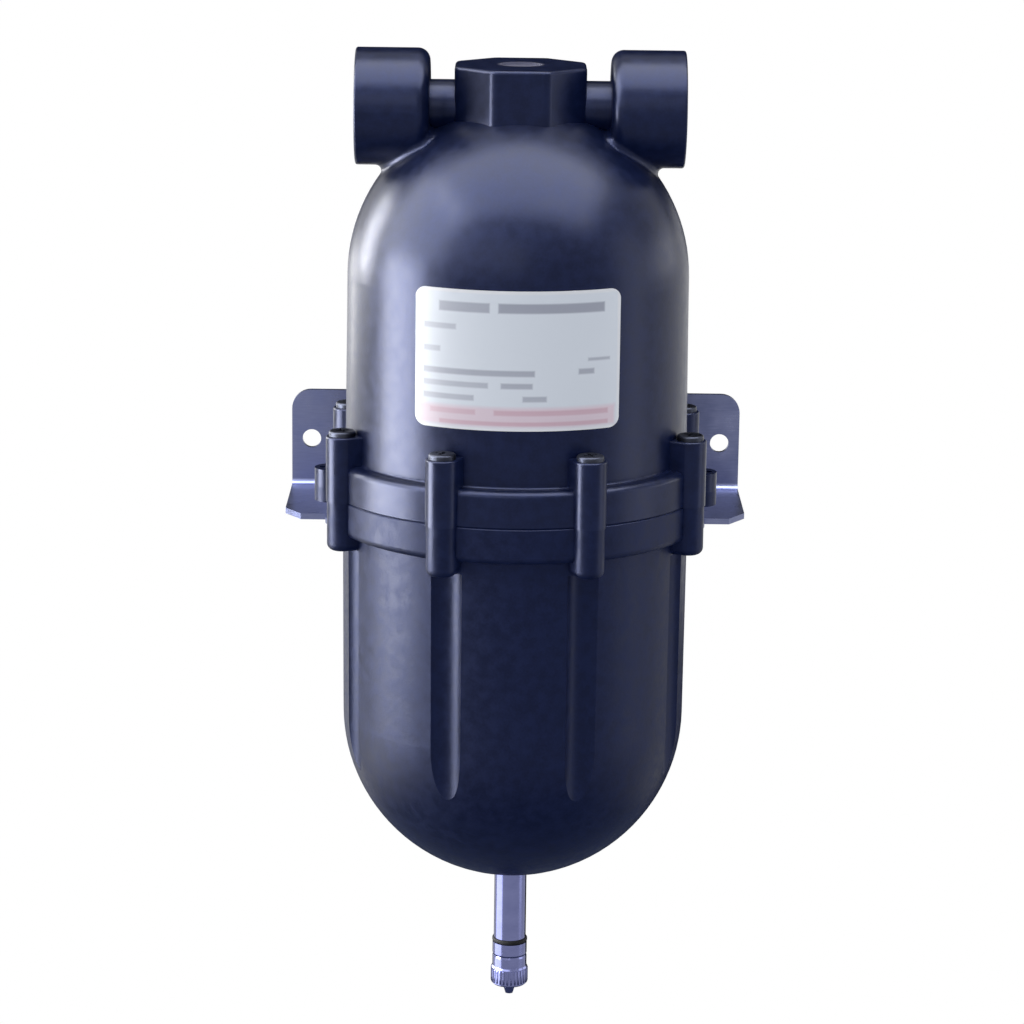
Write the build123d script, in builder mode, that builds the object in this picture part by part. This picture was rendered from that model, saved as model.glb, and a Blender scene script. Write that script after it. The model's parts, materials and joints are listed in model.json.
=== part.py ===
"""Small pre-pressurised accumulator tank on its wall bracket, in millimetres.

The origin lies on the back of the bracket, halfway between its two wall holes. +Z is up and +Y
points into the wall. The plane z = 0 is also where the two housings part.
"""

from build123d import *
import math
import os

os.makedirs("parts", exist_ok=True)

# Wall bracket, one bent sheet
wall_standoff = 56.0  # tank axis in front of the wall
bracket_width = 118.2
wall_hole_inset = 5.2  # from the bracket's sides
wall_hole_radius = 2.45
bracket_rise = 13.1  # top of the upright above the wall holes
bracket_corner = 5.0
sheet = 1.5
bend_radius = 1.5
shelf_side_depth = 29.5
shelf_front_depth = 36.0
shelf_corner_inset = 4.3
shelf_lobe_radius = 6.0
shelf_clearance = 0.45  # between the shelf's cut-out and the bowl

# Housings
body_radius = 42.5
wall = 3.6
upper_straight = 53.5
upper_draft = math.radians(0.54)
lower_step = 0.55  # the bowl's wall is this much fuller than the upper wall
lower_straight = 56.9
lower_draft = math.radians(0.25)
flange_width = 3.5
flange_above = 9.0
flange_below = 8.8
flange_round = 1.7
flange_root_round = 0.6
parting_chamfer = 0.3

# Screw bosses and the flutes under them
boss_count = 8
boss_offset = 3.4  # boss circle outside the body
upper_boss_radius = 4.0
upper_boss_height = 16.3
lower_boss_radius = 3.75
lower_boss_height = 12.3
upper_boss_round = 0.5
lower_boss_round = 1.8
seat_round = 0.5  # on the rear bosses, which rest on the shelf
flute_radius = 5.1
flute_wall = 2.7

# Short lugs at the two sides of the flange
lug_radius = 4.2
lug_above = 4.5
lug_below = 3.7
lug_recess_radius = 0.9
lug_recess_depth = 1.5

# Eight-sided boss on the dome
octagon_corner = 3.0
octagon_rise = 9.7  # above the crown of the dome
octagon_round = 0.9
dish_radius = 5.0
dish_depth = 0.6

# Flow tube and pipe ports
port_drop = 0.85  # port axis under the crown of the dome
port_inset = 2.4  # from the body's sides
port_length = 18.1
port_radius = 14.25
port_shoulder_round = 3.0
port_mouth_round = 0.6
port_root_round = 1.5
socket_radius = 9.4
socket_depth = 14.5
socket_chamfer = 0.9
neck_radius = 6.7
neck_length = 6.0  # from a port to the eight-sided boss
passage_radius = 4.0
roof_wall = 2.5  # between the passage and the chamber
guard_hole_radius = 1.25
guard_hole_pitch = 4.0
guard_hole_count = 5

# Diaphragm
rubber = 1.6
rubber_gap = 0.1
bead_width = 2.6
bead_height = 3.2
bead_round = 0.8
bead_land = 1.35  # between the bead's groove and the screw holes

# Screws, washers and nuts
screw_radius = 1.9
screw_gap = 0.25
thread_gap = 0.05
head_radius = 3.3
head_height = 1.3
head_round = 0.6
recess_length = 3.4
recess_width = 0.8
recess_depth = 1.0
screw_tip = 0.6
housing_screw_depth = 9.5  # how far it reaches under the parting plane
washer_radius = 4.2
washer_thickness = 0.8
nut_flats = 7.0
nut_height = 3.2
bracket_screw_end = 1.4  # beyond its nut

# Label
label_height = 33.4
label_centre = 39.8
label_half_angle = math.radians(34.8)
label_corner = 2.5
label_thickness = 0.25
label_gap = 0.05

# Air valve stem, screwed in from inside the bowl
floor_thickness = 8.0
stem_radius = 4.1
stem_end_radius = 3.5  # at the root of its thread
stem_reach = 29.6  # below the bowl
stem_root_radius = 4.75
stem_root_length = 6.0
stem_head_flats = 12.4
stem_head_height = 3.5
stem_bore_radius = 1.3
stem_tip_chamfer = 0.4
stem_fit = 0.05
seal_radius = 6.3
seal_thickness = 1.5
seal_rise = 0.3  # the seal holds the head this far off the floor

# Valve core
core_bore_radius = 2.2
core_bore_depth = 18.0
core_recess = 1.0  # plug behind the stem's tip
core_gap = 0.08
plug_length = 5.0
barrel_radius = 1.6
barrel_bore_radius = 1.15
barrel_length = 7.0
seat_length = 1.2
seat_bore_radius = 0.65
gasket_length = 2.0
pin_radius = 0.45
pin_recess = 0.3
collar_radius = 1.0
collar_height = 0.6
cup_radius = 1.5
cup_height = 1.4
core_seal_thickness = 0.6
spring_wire_radius = 0.14
spring_radius = 0.8
spring_turns = 5

# Valve cap and the ring above its mouth
ring_radius = 4.5
ring_height = 1.1
ring_round = 0.4
ring_drop = 18.8  # top of the ring under the bowl
cap_gap = 0.1
cap_play = 0.45  # round the root of the stem's thread
cap_mouth_radius = 4.4
cap_waist_radius = 4.25
cap_grip_radius = 4.65
cap_grip_length = 4.5
cap_bevel = 0.45
cap_end_wall = 1.2
cap_gasket_thickness = 0.5
cone_height = 0.9
cone_radius = 3.3
prong_radius = 1.55
prong_tip_radius = 1.0
prong_length = 1.9
prong_slot = 0.7

# Worked out from the sizes above
flange_radius = body_radius + flange_width
boss_circle = body_radius + boss_offset
boss_step = 360 / boss_count
rear_start = boss_step / 2
front_start = rear_start - 180
half_count = boss_count // 2
wall_hole_spacing = bracket_width - 2 * wall_hole_inset
port_reach = body_radius - port_inset
port_inner = port_reach - port_length
octagon_flats = 2 * (port_inner - neck_length)
screw_hole_radius = screw_radius + screw_gap
lower_foot = body_radius + lower_step
upper_ball = (body_radius - upper_straight * math.tan(upper_draft)) * math.cos(upper_draft)
lower_ball = (lower_foot - lower_straight * math.tan(lower_draft)) * math.cos(lower_draft)
crown = upper_straight + upper_ball
bowl_bottom = -(lower_straight + lower_ball)
port_height = crown - port_drop
roof = port_height - passage_radius - roof_wall
floor = bowl_bottom + floor_thickness
bead_outer = boss_circle - screw_hole_radius - bead_land
bead_inner = bead_outer - bead_width
shelf_top = -lower_boss_height
shelf_bottom = shelf_top - sheet
nut_seat = shelf_bottom - washer_thickness
stem_tip = bowl_bottom - stem_reach
ring_high = bowl_bottom - ring_drop
cap_bore_radius = stem_end_radius + cap_play

upright = Plane.XZ.offset(wall_standoff)
tank_axis = Axis((0, -wall_standoff, 0), (0, 0, 1))


def level(height):
    """Level plane at this height, centred on the tank's axis."""
    return Plane(origin=(0, -wall_standoff, height))


def wall_points(foot, straight, draft, inset, direction, flat_end):
    """Points of a drafted wall that runs smoothly into a ball end, moved inwards by inset."""
    ball = (foot - straight * math.tan(draft)) * math.cos(draft) - inset
    start = (ball / math.cos(draft) + straight * math.tan(draft), 0)
    last = math.pi / 2 if flat_end is None else math.asin((abs(flat_end) - straight) / ball)
    angles = (draft, (draft + last) / 2, last)
    arc = [(ball * math.cos(a), direction * (straight + ball * math.sin(a))) for a in angles]
    return start, arc


def chamber_section(foot, straight, draft, inset, direction=1, flat_end=None):
    """Half section from the parting plane to the ball end, or to a flat roof or floor."""
    start, arc = wall_points(foot, straight, draft, inset, direction, flat_end)
    with BuildSketch(upright) as section:
        with BuildLine():
            Polyline((0, 0), start, arc[0])
            ThreePointArc(*arc)
            Polyline(arc[2], (0, arc[2][1]), (0, 0))
        make_face()
    return section.sketch


def housing_section(foot, straight, draft, flange_height, direction=1):
    """Half section of the outside of a housing with its flange."""
    _, arc = wall_points(foot, straight, draft, 0, direction, None)
    shoulder = (flange_radius, direction * flange_height)
    root = (foot - flange_height * math.tan(draft), direction * flange_height)
    with BuildSketch(upright) as section:
        with BuildLine():
            Polyline((0, 0), (flange_radius, 0), shoulder, root, arc[0])
            ThreePointArc(*arc)
            Line(arc[2], (0, 0))
        make_face()
        fillet(section.vertices().sort_by_distance((*shoulder, 0))[0], flange_round)
        fillet(section.vertices().sort_by_distance((*root, 0))[0], flange_root_round)
        chamfer(section.vertices().sort_by_distance((flange_radius, 0, 0))[0], parting_chamfer)
    return section.sketch


def boss_outline(radius, count, start, turn):
    """Round bosses that join the wall inside them over their full width."""
    with BuildSketch(level(0)) as outline:
        with PolarLocations(boss_circle, count, start_angle=start, angular_range=turn):
            Circle(radius)
            Rectangle(boss_offset + wall / 2, 2 * radius, align=(Align.MAX, Align.CENTER))
    return outline.sketch


def stepped_section(points):
    """Half section of a turned piece, from its radius and height pairs."""
    with BuildSketch(upright) as section:
        with BuildLine():
            Polyline(*points, close=True)
        make_face()
    return section.sketch


def ring_section(inner, outer, low, high):
    """Half section of a plain ring."""
    return stepped_section([(inner, low), (outer, low), (outer, high), (inner, high)])


# Upper housing
with BuildPart() as upper_bosses:
    extrude(boss_outline(upper_boss_radius, boss_count, rear_start, 360), upper_boss_height)
    fillet(upper_bosses.faces().group_by(Axis.Z)[-1].edges(), upper_boss_round)

with BuildPart() as octagon:
    with BuildSketch(level(roof)) as octagon_outline:
        RegularPolygon(octagon_flats / 2, 8, major_radius=False, rotation=22.5)
        fillet(octagon_outline.vertices(), octagon_corner)
    extrude(amount=crown + octagon_rise - roof)
    fillet(octagon.faces().sort_by(Axis.Z)[-1].edges(), octagon_round)
    with BuildSketch(level(crown + octagon_rise)):
        Circle(dish_radius)
    extrude(amount=-dish_depth, mode=Mode.SUBTRACT)


def port_plane(side, distance):
    """Plane across the flow tube that faces out of the port on this side."""
    origin = (side * distance, -wall_standoff, port_height)
    return Plane(origin=origin, x_dir=(0, side, 0), z_dir=(side, 0, 0))


def is_port_root(edge):
    """True on the curves where the port barrels run into the dome."""
    place = edge.center()
    return abs(place.X) > port_inner and port_height - 2 * port_radius < place.Z < port_height


with BuildPart() as port_barrels:
    for side in (-1, 1):
        with BuildSketch(port_plane(side, port_inner)):
            Circle(port_radius)
        extrude(amount=port_reach - port_inner)
    ends = port_barrels.edges().filter_by(GeomType.CIRCLE)
    fillet(ends.filter_by_position(Axis.X, -port_inner, port_inner), port_shoulder_round)
    mouths = port_barrels.edges().filter_by(GeomType.CIRCLE).group_by(Axis.X)
    fillet(mouths[0] + mouths[-1], port_mouth_round)

with BuildPart() as flow_passages:
    with BuildSketch(port_plane(1, -port_reach)):
        Circle(passage_radius)
    extrude(amount=2 * port_reach)
    for side in (-1, 1):
        with BuildSketch(port_plane(side, port_reach)):
            Circle(socket_radius)
        extrude(amount=-socket_depth)
        with BuildSketch(port_plane(side, port_reach)):
            Circle(socket_radius + socket_chamfer)
        extrude(amount=-socket_chamfer, taper=45)
    with BuildSketch(level(roof)):
        with GridLocations(guard_hole_pitch, 0, guard_hole_count, 1):
            Circle(guard_hole_radius)
    extrude(amount=port_height - roof)

with BuildPart() as upper_housing:
    revolve(
        housing_section(body_radius, upper_straight, upper_draft, flange_above), axis=tank_axis
    )
    add(upper_bosses.part)
    extrude(boss_outline(lug_radius, 2, 0, 360), lug_above)
    add(octagon.part)
    with BuildSketch(port_plane(1, -port_inner - port_shoulder_round)):
        Circle(neck_radius)
    extrude(amount=2 * (port_inner + port_shoulder_round))
    add(port_barrels.part)
    curves = upper_housing.edges().filter_by(GeomType.BSPLINE)
    fillet(curves.filter_by(is_port_root), port_root_round)
    revolve(
        chamber_section(body_radius, upper_straight, upper_draft, wall, flat_end=roof),
        axis=tank_axis,
        mode=Mode.SUBTRACT,
    )
    add(flow_passages.part, mode=Mode.SUBTRACT)
    revolve(
        ring_section(
            bead_inner - rubber_gap, bead_outer + rubber_gap, 0, bead_height / 2 + rubber_gap
        ),
        axis=tank_axis,
        mode=Mode.SUBTRACT,
    )
    revolve(
        ring_section(0, bead_inner, 0, rubber / 2 + rubber_gap),
        axis=tank_axis,
        mode=Mode.SUBTRACT,
    )
    with BuildSketch(level(0)):
        with PolarLocations(boss_circle, boss_count, start_angle=rear_start):
            Circle(screw_hole_radius)
    extrude(amount=upper_boss_height, mode=Mode.SUBTRACT)
    with BuildSketch(level(lug_above)):
        with PolarLocations((flange_radius + boss_circle + lug_radius) / 2, 2):
            Circle(lug_recess_radius)
    extrude(amount=-lug_recess_depth, mode=Mode.SUBTRACT)
upper_housing.part.label = "upper_housing"
export_step(upper_housing.part, "parts/upper_housing.step")

# Lower housing
with BuildPart() as lower_bosses:
    extrude(boss_outline(lower_boss_radius, boss_count, rear_start, 360), -lower_boss_height)
    ends = lower_bosses.faces().group_by(Axis.Z)[0].sort_by(Axis.Y)
    fillet(ends[:half_count].edges(), lower_boss_round)
    fillet(ends[half_count:].edges(), seat_round)

with BuildPart() as lower_chamber:
    revolve(
        chamber_section(lower_foot, lower_straight, lower_draft, wall, -1, floor), axis=tank_axis
    )
    with BuildSketch(level(-lower_boss_height)):
        with PolarLocations(boss_circle, boss_count, start_angle=rear_start):
            Circle(flute_radius + flute_wall)
    extrude(amount=floor + lower_boss_height, mode=Mode.SUBTRACT)

with BuildPart() as lower_housing:
    revolve(
        housing_section(lower_foot, lower_straight, lower_draft, flange_below, -1), axis=tank_axis
    )
    with BuildSketch(level(-lower_boss_height)):
        with PolarLocations(boss_circle, boss_count, start_angle=rear_start):
            Circle(flute_radius)
    extrude(amount=bowl_bottom + lower_boss_height, mode=Mode.SUBTRACT)
    add(lower_bosses.part)
    extrude(boss_outline(lug_radius, 2, 0, 360), -lug_below)
    add(lower_chamber.part, mode=Mode.SUBTRACT)
    revolve(
        ring_section(
            bead_inner - rubber_gap, bead_outer + rubber_gap, -bead_height / 2 - rubber_gap, 0
        ),
        axis=tank_axis,
        mode=Mode.SUBTRACT,
    )
    revolve(
        ring_section(0, bead_inner, -rubber / 2 - rubber_gap, 0),
        axis=tank_axis,
        mode=Mode.SUBTRACT,
    )
    with BuildSketch(level(0)):
        with PolarLocations(boss_circle, half_count, start_angle=rear_start, angular_range=180):
            Circle(screw_hole_radius)
    extrude(amount=-lower_boss_height, mode=Mode.SUBTRACT)
    with BuildSketch(level(0)):
        with PolarLocations(boss_circle, half_count, start_angle=front_start, angular_range=180):
            Circle(screw_radius + thread_gap)
    extrude(amount=-housing_screw_depth - screw_tip, mode=Mode.SUBTRACT)
    with BuildSketch(level(floor)):
        Circle(stem_root_radius + stem_fit)
    extrude(amount=-stem_root_length, mode=Mode.SUBTRACT)
    with BuildSketch(level(floor)):
        Circle(stem_radius + stem_fit)
    extrude(amount=-floor_thickness, mode=Mode.SUBTRACT)
    with BuildSketch(level(floor)):
        Circle(seal_radius + rubber_gap)
    extrude(amount=seal_rise - seal_thickness, mode=Mode.SUBTRACT)
lower_housing.part.label = "lower_housing"
export_step(lower_housing.part, "parts/lower_housing.step")

# Diaphragm, a rubber cup with a beaded rim, pressed against the upper wall by the air below it
with BuildPart() as diaphragm:
    outside = wall + rubber_gap
    inside = outside + rubber
    revolve(
        chamber_section(
            body_radius, upper_straight, upper_draft, outside, flat_end=roof - rubber_gap
        ),
        axis=tank_axis,
    )
    revolve(
        chamber_section(
            body_radius, upper_straight, upper_draft, inside, flat_end=roof - rubber_gap - rubber
        ),
        axis=tank_axis,
        mode=Mode.SUBTRACT,
    )
    revolve(
        ring_section(body_radius - inside, bead_inner + bead_round, -rubber / 2, rubber / 2),
        axis=tank_axis,
    )
    with BuildSketch(upright) as bead:
        with Locations(((bead_inner + bead_outer) / 2, 0)):
            RectangleRounded(bead_width, bead_height, bead_round)
    revolve(axis=tank_axis)
diaphragm.part.label = "diaphragm"
export_step(diaphragm.part, "parts/diaphragm.step")


def screw_section(length):
    """Half section of a pan head screw whose head sits on the upper bosses."""
    seat = upper_boss_height
    end = seat - length
    with BuildSketch(Plane.XZ) as section:
        with BuildLine():
            Polyline(
                (0, end),
                (screw_radius - screw_tip, end),
                (screw_radius, end + screw_tip),
                (screw_radius, seat),
                (head_radius, seat),
                (head_radius, seat + head_height),
                (0, seat + head_height),
                close=True,
            )
        make_face()
        crest = (head_radius, seat + head_height, 0)
        fillet(section.vertices().sort_by_distance(crest)[0], head_round)
    return section.sketch


def upright_screw(length):
    """One screw on the Z axis, with a cross recess in its head."""
    with BuildPart() as screw:
        revolve(screw_section(length), axis=Axis.Z)
        with BuildSketch(Plane.XY.offset(upper_boss_height + head_height)):
            Rectangle(recess_length, recess_width)
            Rectangle(recess_width, recess_length)
        extrude(amount=-recess_depth, mode=Mode.SUBTRACT)
    return screw.part


# Self-tapping screws in the front and side bosses
housing_screw = upright_screw(upper_boss_height + housing_screw_depth)
with BuildPart(level(0)) as housing_screws:
    with PolarLocations(boss_circle, half_count, start_angle=front_start, angular_range=180):
        add(housing_screw)
housing_screws.part.label = "housing_screws"
export_step(housing_screws.part, "parts/housing_screws.step")

# Longer screws in the rear bosses, which also hold the bracket
bracket_screw = upright_screw(upper_boss_height - nut_seat + nut_height + bracket_screw_end)
with BuildPart(level(0)) as bracket_screws:
    with PolarLocations(boss_circle, half_count, start_angle=rear_start, angular_range=180):
        add(bracket_screw)
bracket_screws.part.label = "bracket_screws"
export_step(bracket_screws.part, "parts/bracket_screws.step")

with BuildPart() as bracket_washers:
    with BuildSketch(level(shelf_bottom)):
        with PolarLocations(boss_circle, half_count, start_angle=rear_start, angular_range=180):
            Circle(washer_radius)
            Circle(screw_hole_radius, mode=Mode.SUBTRACT)
    extrude(amount=-washer_thickness)
bracket_washers.part.label = "bracket_washers"
export_step(bracket_washers.part, "parts/bracket_washers.step")

with BuildPart() as bracket_nuts:
    with BuildSketch(level(nut_seat)):
        with PolarLocations(boss_circle, half_count, start_angle=rear_start, angular_range=180):
            RegularPolygon(nut_flats / 2, 6, major_radius=False)
            Circle(screw_radius + thread_gap, mode=Mode.SUBTRACT)
    extrude(amount=-nut_height)
bracket_nuts.part.label = "bracket_nuts"
export_step(bracket_nuts.part, "parts/bracket_nuts.step")

# Bracket, an upright against the wall and a shelf that reaches round the bowl under the bosses
with BuildPart() as mounting_bracket:
    with BuildSketch(Plane.XZ) as upright_outline:
        with Locations((0, (bracket_rise + shelf_bottom) / 2)):
            Rectangle(bracket_width, bracket_rise - shelf_bottom)
        fillet(upright_outline.vertices().group_by(Axis.Y)[-1], bracket_corner)
        with GridLocations(wall_hole_spacing, 0, 2, 1):
            Circle(wall_hole_radius, mode=Mode.SUBTRACT)
    extrude(amount=sheet)
    with BuildSketch(level(shelf_bottom)):
        half_width = bracket_width / 2
        with BuildLine():
            Polyline(
                (-half_width, wall_standoff),
                (-half_width, wall_standoff - shelf_side_depth),
                (shelf_corner_inset - half_width, wall_standoff - shelf_front_depth),
                (half_width - shelf_corner_inset, wall_standoff - shelf_front_depth),
                (half_width, wall_standoff - shelf_side_depth),
                (half_width, wall_standoff),
                close=True,
            )
        make_face()
        with PolarLocations(boss_circle, half_count, start_angle=rear_start, angular_range=180):
            Circle(shelf_lobe_radius)
        Circle(lower_foot + shelf_clearance, mode=Mode.SUBTRACT)
        with PolarLocations(boss_circle, half_count, start_angle=rear_start, angular_range=180):
            Circle(screw_hole_radius, mode=Mode.SUBTRACT)
    extrude(amount=sheet)
    bends = mounting_bracket.edges().filter_by(Axis.X)
    fillet(bends.sort_by_distance((0, -sheet, shelf_top))[0], bend_radius)
    bends = mounting_bracket.edges().filter_by(Axis.X)
    fillet(bends.sort_by_distance((0, 0, shelf_bottom))[0], bend_radius + sheet)
mounting_bracket.part.label = "mounting_bracket"
export_step(mounting_bracket.part, "parts/mounting_bracket.step")

# Label, a thin sheet that follows the front of the upper housing
with BuildPart() as label:
    with BuildSketch(upright):
        with Locations((0, label_centre)):
            label_width = 2 * body_radius * math.sin(label_half_angle)
            RectangleRounded(label_width, label_height, label_corner)
    extrude(amount=flange_radius)
    revolve(
        chamber_section(
            body_radius, upper_straight, upper_draft, -label_gap - label_thickness
        ),
        axis=tank_axis,
        mode=Mode.INTERSECT,
    )
    revolve(
        chamber_section(body_radius, upper_straight, upper_draft, -label_gap),
        axis=tank_axis,
        mode=Mode.SUBTRACT,
    )
label.part.label = "label"
export_step(label.part, "parts/label.step")

# Valve stem with a hexagon head inside the bowl
head_seat = floor + seal_rise
with BuildPart() as valve_stem:
    with BuildSketch(level(head_seat)):
        RegularPolygon(stem_head_flats / 2, 6, major_radius=False)
    extrude(amount=stem_head_height)
    revolve(
        stepped_section(
            [
                (0, head_seat),
                (stem_root_radius, head_seat),
                (stem_root_radius, floor - stem_root_length),
                (stem_radius, floor - stem_root_length),
                (stem_radius, ring_high + stem_fit),
                (stem_end_radius, ring_high + stem_fit),
                (stem_end_radius, stem_tip + stem_tip_chamfer),
                (stem_end_radius - stem_tip_chamfer, stem_tip),
                (0, stem_tip),
            ]
        ),
        axis=tank_axis,
    )
    with BuildSketch(level(stem_tip)):
        Circle(stem_bore_radius)
    extrude(amount=head_seat + stem_head_height - stem_tip, mode=Mode.SUBTRACT)
    with BuildSketch(level(stem_tip)):
        Circle(core_bore_radius)
    extrude(amount=core_bore_depth, mode=Mode.SUBTRACT)
valve_stem.part.label = "valve_stem"
export_step(valve_stem.part, "parts/valve_stem.step")

with BuildPart() as stem_seal:
    seal_bore = stem_root_radius + rubber_gap
    revolve(
        ring_section(seal_bore, seal_radius, head_seat - seal_thickness, head_seat),
        axis=tank_axis,
    )
stem_seal.part.label = "stem_seal"
export_step(stem_seal.part, "parts/stem_seal.step")

# Valve core: a screwed plug with a barrel, and a sprung pin that seals on the barrel's end
plug_low = stem_tip + core_recess
barrel_low = plug_low + plug_length
seat_low = barrel_low + barrel_length
seat_high = seat_low + seat_length
collar_low = barrel_low + collar_height
pin_low = stem_tip + pin_recess
cup_low = seat_high + core_seal_thickness
with BuildPart() as core_body:
    revolve(
        stepped_section(
            [
                (barrel_bore_radius, plug_low),
                (core_bore_radius - core_gap, plug_low),
                (core_bore_radius - core_gap, barrel_low),
                (barrel_radius, barrel_low),
                (barrel_radius, seat_high),
                (seat_bore_radius, seat_high),
                (seat_bore_radius, seat_low),
                (barrel_bore_radius, seat_low),
            ]
        ),
        axis=tank_axis,
    )
core_body.part.label = "core_body"
export_step(core_body.part, "parts/core_body.step")

with BuildPart() as core_gasket:
    revolve(
        ring_section(
            barrel_radius + core_gap,
            core_bore_radius - core_gap,
            barrel_low,
            barrel_low + gasket_length,
        ),
        axis=tank_axis,
    )
core_gasket.part.label = "core_gasket"
export_step(core_gasket.part, "parts/core_gasket.step")

with BuildPart() as core_pin:
    revolve(ring_section(0, pin_radius, pin_low, cup_low + cup_height), axis=tank_axis)
    revolve(ring_section(0, collar_radius, collar_low, collar_low + collar_height), axis=tank_axis)
    revolve(ring_section(0, cup_radius, cup_low, cup_low + cup_height), axis=tank_axis)
core_pin.part.label = "core_pin"
export_step(core_pin.part, "parts/core_pin.step")

with BuildPart() as core_seal:
    revolve(
        ring_section(pin_radius + stem_fit, cup_radius, seat_high + stem_fit, cup_low),
        axis=tank_axis,
    )
core_seal.part.label = "core_seal"
export_step(core_seal.part, "parts/core_seal.step")

with BuildPart() as core_spring:
    spring_low = collar_low + collar_height + spring_wire_radius
    spring_length = seat_low - spring_low - spring_wire_radius
    with BuildLine(level(spring_low)) as spring_path:
        Helix(spring_length / spring_turns, spring_length, spring_radius)
    with BuildSketch(Plane(origin=spring_path.line @ 0, z_dir=spring_path.line % 0)):
        Circle(spring_wire_radius)
    sweep(is_frenet=True)
core_spring.part.label = "core_spring"
export_step(core_spring.part, "parts/core_spring.step")

# Ring above the cap's mouth
ring_low = ring_high - ring_height
with BuildPart() as mouth_ring:
    revolve(
        ring_section(stem_end_radius + stem_fit, ring_radius, ring_low, ring_high), axis=tank_axis
    )
    circles = mouth_ring.edges().filter_by(GeomType.CIRCLE)
    fillet(circles.group_by(SortBy.RADIUS)[-1], ring_round)
mouth_ring.part.label = "mouth_ring"
export_step(mouth_ring.part, "parts/mouth_ring.step")

# Valve cap with a rubber disc inside and a forked tip
cap_mouth = ring_low - cap_gap
cap_inner_end = stem_tip - cap_gap - cap_gasket_thickness
cap_end = cap_inner_end - cap_end_wall
grip_high = cap_end + cap_grip_length
waist = (cap_mouth + grip_high) / 2
prong_high = cap_end - cone_height
with BuildPart() as valve_cap:
    revolve(
        stepped_section(
            [
                (cap_bore_radius, cap_mouth),
                (cap_mouth_radius, cap_mouth),
                (cap_mouth_radius, waist + cap_bevel),
                (cap_waist_radius, waist),
                (cap_mouth_radius, waist - cap_bevel),
                (cap_mouth_radius, grip_high + cap_bevel),
                (cap_grip_radius, grip_high),
                (cap_grip_radius, cap_end + cap_bevel),
                (cap_grip_radius - cap_bevel, cap_end),
                (cone_radius, cap_end),
                (prong_radius, prong_high),
                (prong_tip_radius, prong_high - prong_length),
                (0, prong_high - prong_length),
                (0, cap_inner_end),
                (cap_bore_radius, cap_inner_end),
            ]
        ),
        axis=tank_axis,
    )
    with BuildSketch(level(prong_high - prong_length)):
        Rectangle(2 * prong_radius, prong_slot)
    extrude(amount=prong_length, mode=Mode.SUBTRACT)
valve_cap.part.label = "valve_cap"
export_step(valve_cap.part, "parts/valve_cap.step")

with BuildPart() as cap_gasket:
    with BuildSketch(level(cap_inner_end)):
        Circle(cap_bore_radius - cap_gap)
    extrude(amount=cap_gasket_thickness)
cap_gasket.part.label = "cap_gasket"
export_step(cap_gasket.part, "parts/cap_gasket.step")
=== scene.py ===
"""Looks of a small accumulator tank on its wall bracket.

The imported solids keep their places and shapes. This script gives each of them its finish, adds
the threads, nuts and grips that are too fine for the solids, and sets up the studio and camera.
Lengths are in metres and +Z is up, with the origin on the wall between the two wall holes.
"""

import json
import logging
import math
from dataclasses import dataclass, field
from enum import Enum

import bpy
from mathutils import Matrix, Vector

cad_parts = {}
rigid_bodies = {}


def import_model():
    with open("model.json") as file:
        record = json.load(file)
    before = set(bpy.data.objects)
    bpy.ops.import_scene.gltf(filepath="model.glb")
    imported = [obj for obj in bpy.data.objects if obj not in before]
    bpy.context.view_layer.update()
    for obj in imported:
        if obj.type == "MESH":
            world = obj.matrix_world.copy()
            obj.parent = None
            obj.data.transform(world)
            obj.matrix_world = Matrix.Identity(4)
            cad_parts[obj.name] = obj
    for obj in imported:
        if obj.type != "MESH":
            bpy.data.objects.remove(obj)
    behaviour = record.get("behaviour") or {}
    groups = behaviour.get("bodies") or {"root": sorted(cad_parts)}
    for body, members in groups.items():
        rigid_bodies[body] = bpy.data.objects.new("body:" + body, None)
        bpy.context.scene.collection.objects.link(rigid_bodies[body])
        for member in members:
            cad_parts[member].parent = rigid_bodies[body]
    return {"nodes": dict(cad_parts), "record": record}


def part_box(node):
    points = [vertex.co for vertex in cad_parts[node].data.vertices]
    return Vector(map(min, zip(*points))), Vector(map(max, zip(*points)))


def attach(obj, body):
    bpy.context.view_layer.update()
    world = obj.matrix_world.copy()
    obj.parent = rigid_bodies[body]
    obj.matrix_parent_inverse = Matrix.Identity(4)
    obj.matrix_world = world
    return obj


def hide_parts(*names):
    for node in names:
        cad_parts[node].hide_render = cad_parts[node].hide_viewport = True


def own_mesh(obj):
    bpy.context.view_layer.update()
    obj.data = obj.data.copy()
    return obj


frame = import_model()

MM = 0.001
AXIS_Y = -56.0 * MM
CLOUD_OCTAVES = 4.0
UNIT = (0.0, 1.0)
SMOOTH_ANGLE = math.radians(35)
BEVEL_ANGLE = math.radians(60)
Triple = tuple[float, float, float]
Colour = Triple
Span = tuple[float, float]
Socket = bpy.types.NodeSocket
log = logging.getLogger("tank")


class Body(Enum):
    """The bodies that new pieces move with."""

    TANK = "tank"
    CAP = "cap"


class Slot(Enum):
    """Four material slot names, which nothing in this script uses."""

    HOUSING = "housing"
    SCREWS = "screws"
    FITTINGS = "fittings"
    VALVE = "valve"


class Shine(Enum):
    """What a soft box is for: a reflection, or plain light."""

    GLOSS = "gloss"
    LIGHT = "light"


class Card(Enum):
    """The cards that flags are cut from."""

    BLACK = "black_card"
    GREY = "grey_card"


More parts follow.
